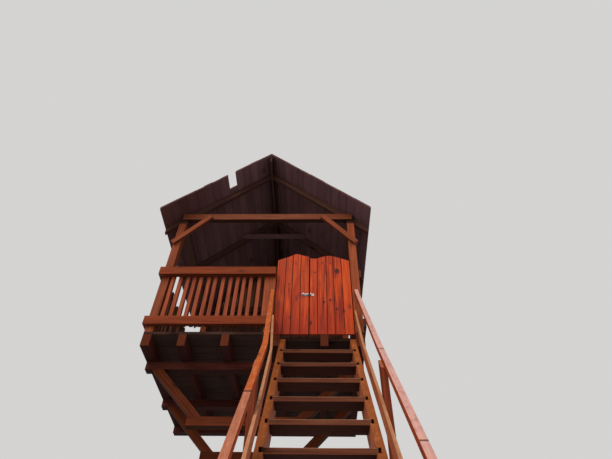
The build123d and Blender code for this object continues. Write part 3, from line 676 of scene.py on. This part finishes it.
def layHeads(name, spots, turn, node, radiusMm=headSettings["nailRadiusMm"], stain="wireNailHead"):
    mesh = bpy.data.meshes.new(name)
    mesh.from_pydata(spots, [], [])
    piece = linkObject(name, mesh)
    runNodes(piece, headRun, {"Head Radius": radiusMm / 1000, "Head Height": headSettings["heightMm"] / 1000,
                              "Head Turn": turn, "Finish": finish[stain]})
    rideWith(piece, node)


# Deck: boards across the joists, the front row cut short for the gateway, two nails on each joist
deckSettings = {"frontRowMm": 105, "frontTones": (0.4, 0.7), "rows": 16, "gapMm": 5,
                "nailShares": (0.26, 0.74), "seed": 21}
deckLow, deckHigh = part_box("deck_floor")
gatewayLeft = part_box("gate_post")[1].x
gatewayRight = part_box("post_front_right")[0].x
frontRow = deckSettings["frontRowMm"] / 1000
gap = deckSettings["gapMm"] / 1000
rowPitch = (deckHigh.y - deckLow.y - frontRow) / deckSettings["rows"]
deckBoard = boxBoard((deckLow.x, gap / 2, deckLow.z), (deckHigh.x, rowPitch - gap / 2, deckHigh.z))
rows = layRun("deckRows", deckBoard, deckSettings["rows"], (0, deckLow.y + frontRow, 0), (0, rowPitch, 0),
              "sawnPineDeck", deckSettings["seed"])
shapes = [boxBoard((x0, deckLow.y, deckLow.z), (x1, deckLow.y + frontRow - gap / 2, deckHigh.z), tone)
          for x0, x1, tone in zip((deckLow.x, gatewayRight), (gatewayLeft, deckHigh.x),
                                  deckSettings["frontTones"])]
frontBoards = joinBoards("deckFront", shapes, "sawnPineDeck")
joinRuns("deckBoards", [rows, frontBoards], "deck_floor")
heads = [(x, deckLow.y + frontRow + rowPitch * (i + share), deckHigh.z)
         for x in joistPlaces for i in range(deckSettings["rows"]) for share in deckSettings["nailShares"]]
layHeads("deckNails", heads, headTurns["up"], "deck_floor")
print("deck laid")

# Roof: boards that run from gable to gable, one of them cut short on the left slope
roofSettings = {"boards": 14, "chamferMm": 4, "thicknessMm": 30, "pitchDeg": 43, "playMm": 4, "cutBoard": 5,
                "cutMm": 240, "cutTone": 0.3, "nailShares": (0.25, 0.75), "seed": 33}
roofLow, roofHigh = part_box("roof_right")
slope = math.radians(roofSettings["pitchDeg"])
slopeRun, slopeFall = math.cos(slope), math.sin(slope)
boardPitch = roofHigh.x / slopeRun / roofSettings["boards"]
thickness = roofSettings["thicknessMm"] / 1000
ridgeTop = roofHigh.z


def slopeBoard(side, start, end, y0, y1, tone):
    # A board between two distances from the ridge, its top face on the slope
    down = Vector((side * slopeRun, 0, -slopeFall))
    under = Vector((0, 0, -thickness / slopeRun))
    ridge = Vector((0, 0, ridgeTop))
    shape = blockOf([ridge + down * place + Vector((0, y, 0)) + under * layer
                     for y in (y0, y1) for place in (start, end) for layer in (0, 1)])
    dressBoard(shape, [[0, 1, 0], [side * slopeRun, 0, -slopeFall], [side * slopeFall, 0, slopeRun]], tone,
               roofSettings["chamferMm"])
    return shape


for side, label in ((-1, "left"), (1, "right")):
    single = slopeBoard(side, 0, boardPitch, roofLow.y, roofHigh.y, None)
    step = (side * slopeRun * boardPitch, 0, -slopeFall * boardPitch)
    cut = roofSettings["cutBoard"]
    runs = [layRun(label + "Slope", single, roofSettings["boards"], (0, 0, 0), step, "sawnPineRoof",
                   roofSettings["seed"] + side, play=(0, roofSettings["playMm"] / 1000, 0),
                   leftOut=cut if side < 0 else -1)]
    if side < 0:
        short = slopeBoard(side, cut * boardPitch, (cut + 1) * boardPitch,
                           roofLow.y + roofSettings["cutMm"] / 1000, roofHigh.y, roofSettings["cutTone"])
        runs.append(joinBoards("cutBoard", [short], "sawnPineRoof"))
    joinRuns(label + "RoofBoards", runs, "roof_" + label)
    places = [(i + share) * boardPitch
              for i in range(roofSettings["boards"]) for share in roofSettings["nailShares"]]
    heads = [(side * slopeRun * place, y, ridgeTop - slopeFall * place)
             for y in sorted(rafterPlaces) for place in places]
    layHeads(label + "RoofNails", heads, (0, side * slope, 0), "roof_" + label)
print("roof laid")

# Rear wall: upright boards, their tops cut to the slopes and round the ridge board
wallSettings = {"boards": 18, "chamferMm": 5, "clearMm": 4, "nailShares": (0.27, 0.73), "nailUpMm": 30,
                "seed": 44}
wallLow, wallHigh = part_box("rear_wall")
ridgeLow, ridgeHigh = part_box("ridge_board")
tieLow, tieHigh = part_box("tie_beam_rear")
rng = random.Random(wallSettings["seed"])
wallPitch = (wallHigh.x - wallLow.x) / wallSettings["boards"]
clear = wallSettings["clearMm"] / 1000
headDrop = (thickness + clear) / slopeRun
notchX = ridgeHigh.x + clear
notchZ = ridgeLow.z - clear


def wallTop(x):
    return ridgeTop - abs(x) * math.tan(slope) - headDrop


wallBoards = []
heads = []
for i in range(wallSettings["boards"]):
    x0 = wallLow.x + i * wallPitch
    x1 = x0 + wallPitch
    tops = [(x1, wallTop(x1)), (x0, wallTop(x0))]
    if abs(x0) < notchX:  # the two middle boards are notched round the ridge board
        tops[1:] = [(notchX, wallTop(notchX)), (notchX, notchZ), (x0, notchZ)]
    elif abs(x1) < notchX:
        tops[:1] = [(x1, notchZ), (-notchX, notchZ), (-notchX, wallTop(notchX))]
    outline = [(x, wallLow.y, z) for x, z in [(x0, wallLow.z), (x1, wallLow.z)] + tops]
    wallBoards.append(plateBoard(outline, wallHigh.y - wallLow.y, rng.random(), wallSettings["chamferMm"]))
    for share in wallSettings["nailShares"]:
        for z in (wallLow.z + wallSettings["nailUpMm"] / 1000, (tieLow.z + tieHigh.z) / 2):
            heads.append((x0 + wallPitch * share, wallHigh.y, z))
standFor(joinBoards("rearWallBoards", wallBoards, "sawnPineWall"), "rear_wall")
layHeads("wallNails", heads, headTurns["back"], "rear_wall")
print("rear wall boarded")

# Balusters and side railings, of sticks that lean and twist a little in their fixings. Rail heights
# are from the foot of the front rails
railingSettings = {"squareMm": 40, "frontCount": 14, "postMm": 90, "gapMm": 43, "endMm": 17, "playMm": 2,
                   "leanDeg": 0.3, "twistDeg": 1.2, "railMm": 30, "lowRailTopMm": 103, "highRailFootMm": 703,
                   "lowTone": 0.65, "highTone": 0.35, "frontNailMm": 45, "lowNailMm": 50, "highNailMm": 55,
                   "frontSeed": 55, "sideSeed": 58}
railing = {key[:-2]: size / 1000 for key, size in railingSettings.items() if key.endswith("Mm")}
square = railing["square"]
lean, twist = math.radians(railingSettings["leanDeg"]), math.radians(railingSettings["twistDeg"])
railLow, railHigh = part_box("front_rails")
low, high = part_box("front_balusters")
pitch = (high.x - low.x - square) / (railingSettings["frontCount"] - 1)
stick = boxBoard((0, low.y, low.z), (square, high.y, high.z), None, 2)
sticks = layRun("frontSticks", stick, railingSettings["frontCount"], (low.x, 0, 0), (pitch, 0, 0),
                "planedPineBaluster", railingSettings["frontSeed"], (railing["play"], 0, 0), (0, lean, twist))
standFor(sticks, "front_balusters")
heads = [(low.x + square / 2 + i * pitch, railLow.y, railHigh.z - railing["frontNail"])
         for i in range(railingSettings["frontCount"])]
layHeads("frontRailNails", heads, headTurns["front"], "front_rails")

for side, label in ((-1, "left"), (1, "right")):
    low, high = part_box(label + "_railing")
    railX = (high.x - railing["rail"], high.x) if side > 0 else (low.x, low.x + railing["rail"])
    stickX = (railX[0] - square) if side > 0 else railX[1]
    shapes = [boxBoard((railX[0], low.y, z0), (railX[1], high.y, z1), railingSettings[tone], 1)
              for z0, z1, tone in ((railLow.z + railing["highRailFoot"], railHigh.z, "highTone"),
                                   (railLow.z, railLow.z + railing["lowRailTop"], "lowTone"))]
    # The side rails and sticks take the painted shade of the eaves
    rails = joinBoards(label + "Rails", shapes, "paintedShadePineBaluster")
    start = low.y + railing["post"]
    end = high.y - railing["post"]
    count = round((end - start - railing["gap"]) / (square + railing["gap"]))
    space = (end - start - count * square) / (count + 1)
    stick = boxBoard((stickX, 0, low.z + railing["end"]),
                     (stickX + square, square, high.z - railing["end"]), None, 2)
    sticks = layRun(label + "Sticks", stick, count, (0, start + space, 0), (0, square + space, 0),
                    "paintedShadePineBaluster", railingSettings["sideSeed"] + side, (0, railing["play"], 0),
                    (lean, 0, twist))
    joinRuns(label + "RailingPieces", [rails, sticks], label + "_railing")
    nailHeights = (railLow.z + railing["lowNail"], railHigh.z - railing["highNail"])
    heads = [(railX[1] if side > 0 else railX[0], start + space + square / 2 + i * (square + space), z)
             for i in range(count) for z in nailHeights]
    layHeads(label + "RailNails", heads, headTurns[label], label + "_railing")
print("railings made")

# Treads: thick boards, chamfered and a little hollowed along the front by shoes
stairSettings = {"treads": 15, "riserMm": 282, "goingMm": 213, "thickMm": 44, "depthMm": 140, "chamferMm": 3,
                 "wearMm": 2, "wearOnTop": 0.3, "slices": 12, "nailsBackMm": (45, 100), "nailRadiusMm": 4,
                 "seed": 66}
low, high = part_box("treads")
riser = stairSettings["riserMm"] / 1000
going = stairSettings["goingMm"] / 1000
chamfer = stairSettings["chamferMm"] / 1000
treadFront = high.y - stairSettings["depthMm"] / 1000
treadLow = high.z - stairSettings["thickMm"] / 1000
tread = bmesh.new()
profiles = []
for i in range(stairSettings["slices"] + 1):
    share = i / stairSettings["slices"]
    x = low.x + (high.x - low.x) * share
    dip = stairSettings["wearMm"] / 1000 * math.sin(math.pi * share) ** 2
    section = [(treadFront + chamfer, treadLow), (treadFront, treadLow + chamfer),
               (treadFront, high.z - chamfer - dip),
               (treadFront + chamfer + dip, high.z - dip * stairSettings["wearOnTop"]),
               (high.y - chamfer, high.z), (high.y, high.z - chamfer), (high.y, treadLow)]
    profiles.append([tread.verts.new((x, y, z)) for y, z in section])
for a, b in zip(profiles, profiles[1:]):
    for i in range(len(a)):
        k = (i + 1) % len(a)
        tread.faces.new([a[i], b[i], b[k], a[k]])
tread.faces.new(profiles[0])
tread.faces.new(list(reversed(profiles[-1])))
bmesh.ops.recalc_face_normals(tread, faces=tread.faces)
dressBoard(tread, [[1, 0, 0], [0, 1, 0], [0, 0, 1]], None)
treadRun = layRun("treadBoards", tread, stairSettings["treads"], (0, 0, 0), (0, -going, -riser),
                  "troddenPineTread", stairSettings["seed"])
standFor(treadRun, "treads")
for label, x in (("left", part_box("stringer_left")[0].x), ("right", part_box("stringer_right")[1].x)):
    heads = [(x, treadFront + back / 1000 - i * going, high.z - stairSettings["thickMm"] / 2000 - i * riser)
             for i in range(stairSettings["treads"]) for back in stairSettings["nailsBackMm"]]
    layHeads(label + "StringerNails", heads, headTurns[label], "stringer_" + label,
             stairSettings["nailRadiusMm"])
print("treads laid")

# Gates: upright boards whose heads follow the crest of each leaf, nailed to two ledges, with three
# pairs of screws in each strap on the inner side
gateSettings = {
    "left": {"seamsMm": [294, 377, 473], "tones": [0.25, 0.75, 0.5, 0.62]},
    "right": {"seamsMm": [669, 776, 860, 959], "tones": [0.7, 0.45, 0.3, 0.55, 0.4]},
    "roundingMm": 3, "gapMm": 5, "crestSteps": 6, "nailsInMm": (30, 60), "staggerMm": 12,
    "screwRadiusMm": 4.5, "screwsFromTipMm": (20, 75, 130), "screwEdgeMm": 16, "knuckleMm": 12,
    "faceSlackMm": 1,
}
half = gateSettings["gapMm"] / 2000
stagger = gateSettings["staggerMm"] / 1000
screwEdge = gateSettings["screwEdgeMm"] / 1000
slack = gateSettings["faceSlackMm"] / 1000
for side, free in (("left", 1), ("right", -1)):
    node = "gate_" + side + "_boards"
    low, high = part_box(node)
    middle = (low.z + high.z) / 2
    spots = [v.co for v in nodes[node].data.vertices if v.co.y < low.y + slack and v.co.z > middle]
    crestX, crestZ = zip(*sorted({(round(v.x, 5), round(v.z, 5)) for v in spots}))
    bounds = [low.x] + [seam / 1000 for seam in gateSettings[side]["seamsMm"]] + [high.x]
    boards = []
    for i, tone in enumerate(gateSettings[side]["tones"]):
        x0 = bounds[i] + (half if i else 0)
        x1 = bounds[i + 1] - (half if i < len(bounds) - 2 else 0)
        steps = gateSettings["crestSteps"]
        head = [x1 + (x0 - x1) * k / steps for k in range(steps + 1)]
        outline = [(x0, low.y, low.z), (x1, low.y, low.z)]
        outline += [(x, low.y, float(np.interp(x, crestX, crestZ))) for x in head]
        boards.append(plateBoard(outline, high.y - low.y, tone, gateSettings["roundingMm"]))
    standFor(joinBoards(side + "GateBoards", boards, "coatedPineGate"), node)
    ledgeLow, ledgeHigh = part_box("gate_" + side + "_ledges")
    straps = "gate_" + side + "_straps"
    strapLow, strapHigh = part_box(straps)
    nailHeights = [z + way * back / 1000 for z, way in ((ledgeLow.z, 1), (ledgeHigh.z, -1))
                   for back in gateSettings["nailsInMm"]]
    heads = [((x0 + x1) / 2 + (stagger if round(z * 100) % 2 else -stagger), low.y, z)
             for x0, x1 in zip(bounds, bounds[1:]) for z in nailHeights]
    layHeads(side + "GateNails", heads, headTurns["front"], straps)
    tip = strapHigh.x if free > 0 else strapLow.x
    heads = [(tip - free * reach / 1000, strapHigh.y - gateSettings["knuckleMm"] / 1000, z)
             for reach in gateSettings["screwsFromTipMm"]
             for z in (strapLow.z + screwEdge, strapHigh.z - screwEdge)]
    layHeads(side + "StrapScrews", heads, headTurns["back"], straps, gateSettings["screwRadiusMm"],
             "japannedSteelHinge")
print("gates boarded")

# Metalwork keeps its solids and takes its finish
metalwork = {"japannedSteelHinge": ("gate_hinge_plates", "gate_left_straps", "gate_right_straps"),
             "dulledZincPlate": ("bolt_plate", "bolt_keeper"), "platedSteelBolt": ("bolt_rod",)}
for metal, parts in metalwork.items():
    for node in parts:
        nodes[node].data.materials.clear()
        nodes[node].data.materials.append(finish[metal])

# Nail heads where the corner braces cross post and tie beam
braceSettings = {"spotsMm": ((790, 2620), (828, 2596), (1105, 2190), (1140, 2150)), "nailRadiusMm": 4.5}
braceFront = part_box("corner_braces")[0].y
heads = [(side * x / 1000, braceFront, z / 1000) for side in (-1, 1) for x, z in braceSettings["spotsMm"]]
layHeads("braceNails", heads, headTurns["front"], "corner_braces", braceSettings["nailRadiusMm"])
print("nails set")

# Floor under the foot of the stair, and an even sky
floorSettings = {"sizeM": 240, "dropMm": 2, "colour": "#c4c0bc", "rough": 0.9}
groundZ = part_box("stringer_left")[0].z
bpy.ops.mesh.primitive_plane_add(size=floorSettings["sizeM"],
                                 location=(0, 0, groundZ - floorSettings["dropMm"] / 1000))
floor = bpy.context.object
floor.name = "paleFloor"
floorFinish = bpy.data.materials.new("paleFloorPaint")
floorFinish.use_nodes = True
floorPaint = floorFinish.node_tree.nodes["Principled BSDF"].inputs
floorPaint["Base Color"].default_value = hexColour(floorSettings["colour"])
floorPaint["Roughness"].default_value = floorSettings["rough"]
floor.data.materials.append(floorFinish)

skySettings = {"colour": "#f1f0ef", "strength": 0.75}
world = bpy.data.worlds.new("softSky")
bpy.context.scene.world = world
world.use_nodes = True
sky = world.node_tree.nodes["Background"].inputs
sky["Color"].default_value = hexColour(skySettings["colour"])
sky["Strength"].default_value = skySettings["strength"]

# Two broad soft suns, as large softboxes far away: their light falls evenly on object and floor
lightSettings = {
    "key": {"place": (-4.5, -8.0, 7.0), "softDegrees": 55, "power": 2.7, "colour": "#ffead8"},
    "fill": {"place": (7.0, -6.0, 4.0), "softDegrees": 90, "power": 0.7, "colour": "#f6f2f0"},
}
for name, look in lightSettings.items():
    lamp = bpy.data.lights.new(name, "SUN")
    lamp.angle = math.radians(look["softDegrees"])
    lamp.energy = look["power"]
    lamp.color = hexColour(look["colour"])[:3]
    holder = linkObject(name, lamp)
    holder.location = look["place"]
    holder.rotation_euler = (-Vector(look["place"])).to_track_quat("-Z", "Y").to_euler()

# The camera stands over the stair and looks steeply up: its pitch is from level, its yaw from
# straight ahead, both in radians like its roll
cameraSettings = {"place": (0.644, -4.411, -2.103), "pitch": 0.8447, "yaw": -0.0294, "roll": 0.0201,
                  "focusPixels": 465.0, "imageWidth": 612, "sensorMm": 36.0, "farM": 200}
lens = bpy.data.cameras.new("photoCamera")
lens.sensor_width = cameraSettings["sensorMm"]
lens.lens = cameraSettings["focusPixels"] * cameraSettings["sensorMm"] / cameraSettings["imageWidth"]
lens.clip_end = cameraSettings["farM"]
camera = linkObject("photoCamera", lens)
camera.matrix_world = (Matrix.Translation(cameraSettings["place"])
                       @ Matrix.Rotation(-cameraSettings["yaw"], 4, "Z")
                       @ Matrix.Rotation(quarter + cameraSettings["pitch"], 4, "X")
                       @ Matrix.Rotation(cameraSettings["roll"], 4, "Z"))
bpy.context.scene.camera = camera
print("camera and light set")
